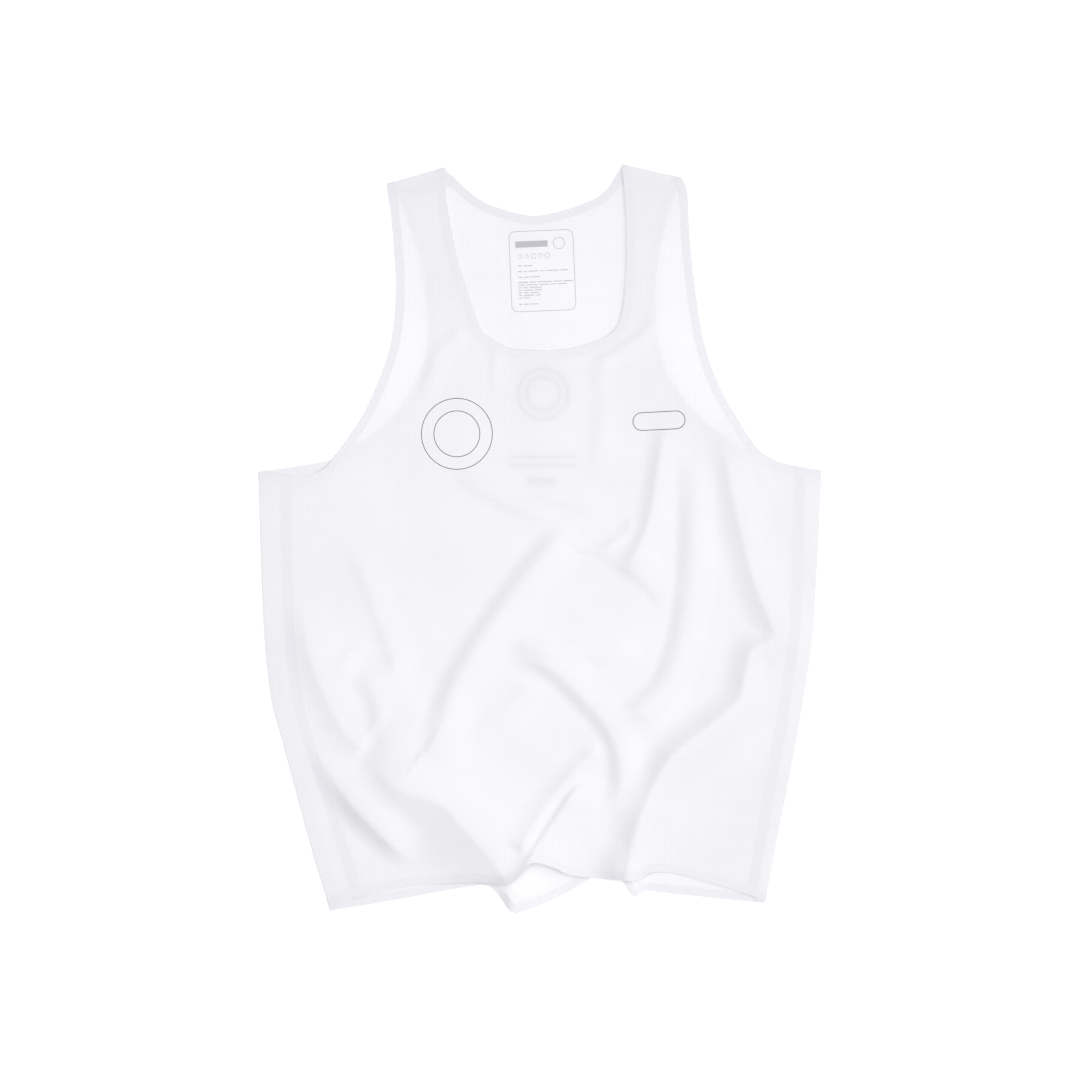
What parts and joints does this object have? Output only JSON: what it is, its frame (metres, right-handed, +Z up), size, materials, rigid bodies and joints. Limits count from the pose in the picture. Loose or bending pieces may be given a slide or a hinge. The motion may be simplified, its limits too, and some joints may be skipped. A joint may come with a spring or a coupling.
{
  "type": "running singlet",
  "caption": "Running singlet of light woven cloth, lying flat with its front up and its hem in loose folds, with a deep neck, wide armholes and bonded edge tapes.",
  "frame": {"origin": "on the surface the singlet lies on, under the middle of its length and width", "axes": "+Z up off the surface, +Y along the garment from the hem to the shoulders, +X across it to the right of someone who looks down at its front"},
  "size_m": [0.542, 0.7182, 0.0256],
  "materials": {
    "cloth": "matt, fine woven grid, slightly see-through",
    "edge_tape": "smooth bonded tape, slightly satin",
    "seam_tape": "smooth bonded tape, slightly satin"
  },
  "bodies": {
    "root": {"front_panel": "cloth", "back_panel": "cloth", "neck_band_front": "edge_tape", "neck_band_back": "edge_tape", "armhole_band_front_left": "edge_tape", "armhole_band_front_right": "edge_tape", "armhole_band_back_left": "edge_tape", "armhole_band_back_right": "edge_tape", "hem_band_front": "edge_tape", "hem_band_back": "edge_tape", "side_seam_left": "seam_tape", "side_seam_right": "seam_tape", "shoulder_seam_left": "seam_tape", "shoulder_seam_right": "seam_tape"}
  },
  "joints": []
}
